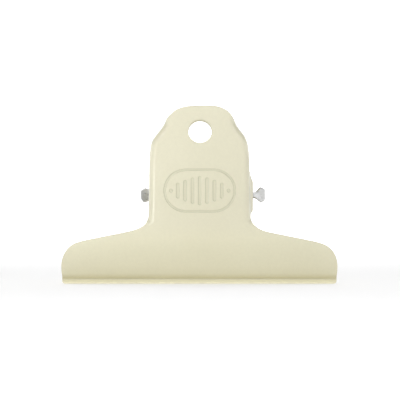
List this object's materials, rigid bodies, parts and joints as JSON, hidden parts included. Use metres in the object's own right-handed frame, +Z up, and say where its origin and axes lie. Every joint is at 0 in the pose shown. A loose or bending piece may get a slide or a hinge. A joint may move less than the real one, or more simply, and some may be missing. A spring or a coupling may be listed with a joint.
{
  "type": "bulldog clip",
  "caption": "Wide sprung paper clip with two flanged sheet-metal jaws, hanging holes in the handles and a hinge pin with flattened ends.",
  "frame": {"origin": "middle of the jaw, on the level of the lip edges, on the plane where the two plates meet", "axes": "+X along the jaw, +Y from the front plate to the rear plate, +Z up from the lips to the handles"},
  "size_m": [0.11, 0.0372, 0.071],
  "materials": {
    "enamel": "semi-gloss ivory stoving enamel on steel",
    "pin_metal": "bright zinc plated wire",
    "spring_wire": "drawn spring steel"
  },
  "bodies": {
    "rear": {"rear_plate": "enamel", "torsion_spring": "spring_wire"},
    "front": {"front_plate": "enamel"},
    "pin": {"hinge_pin": "pin_metal"}
  },
  "joints": [
    {"name": "jaw_open", "type": "hinge", "parent": "rear", "child": "front", "pos_m": [0, 0, 0.0353], "axis": [-1, 0, 0], "range_deg": [0, 45], "stiffness_Nm_per_rad": 0.4, "springref_deg": -51.57, "deforming": ["torsion_spring"]},
    {"name": "pin_spin", "type": "hinge", "parent": "rear", "child": "pin", "pos_m": [0, 0, 0.0353], "axis": [1, 0, 0], "continuous": true}
  ]
}
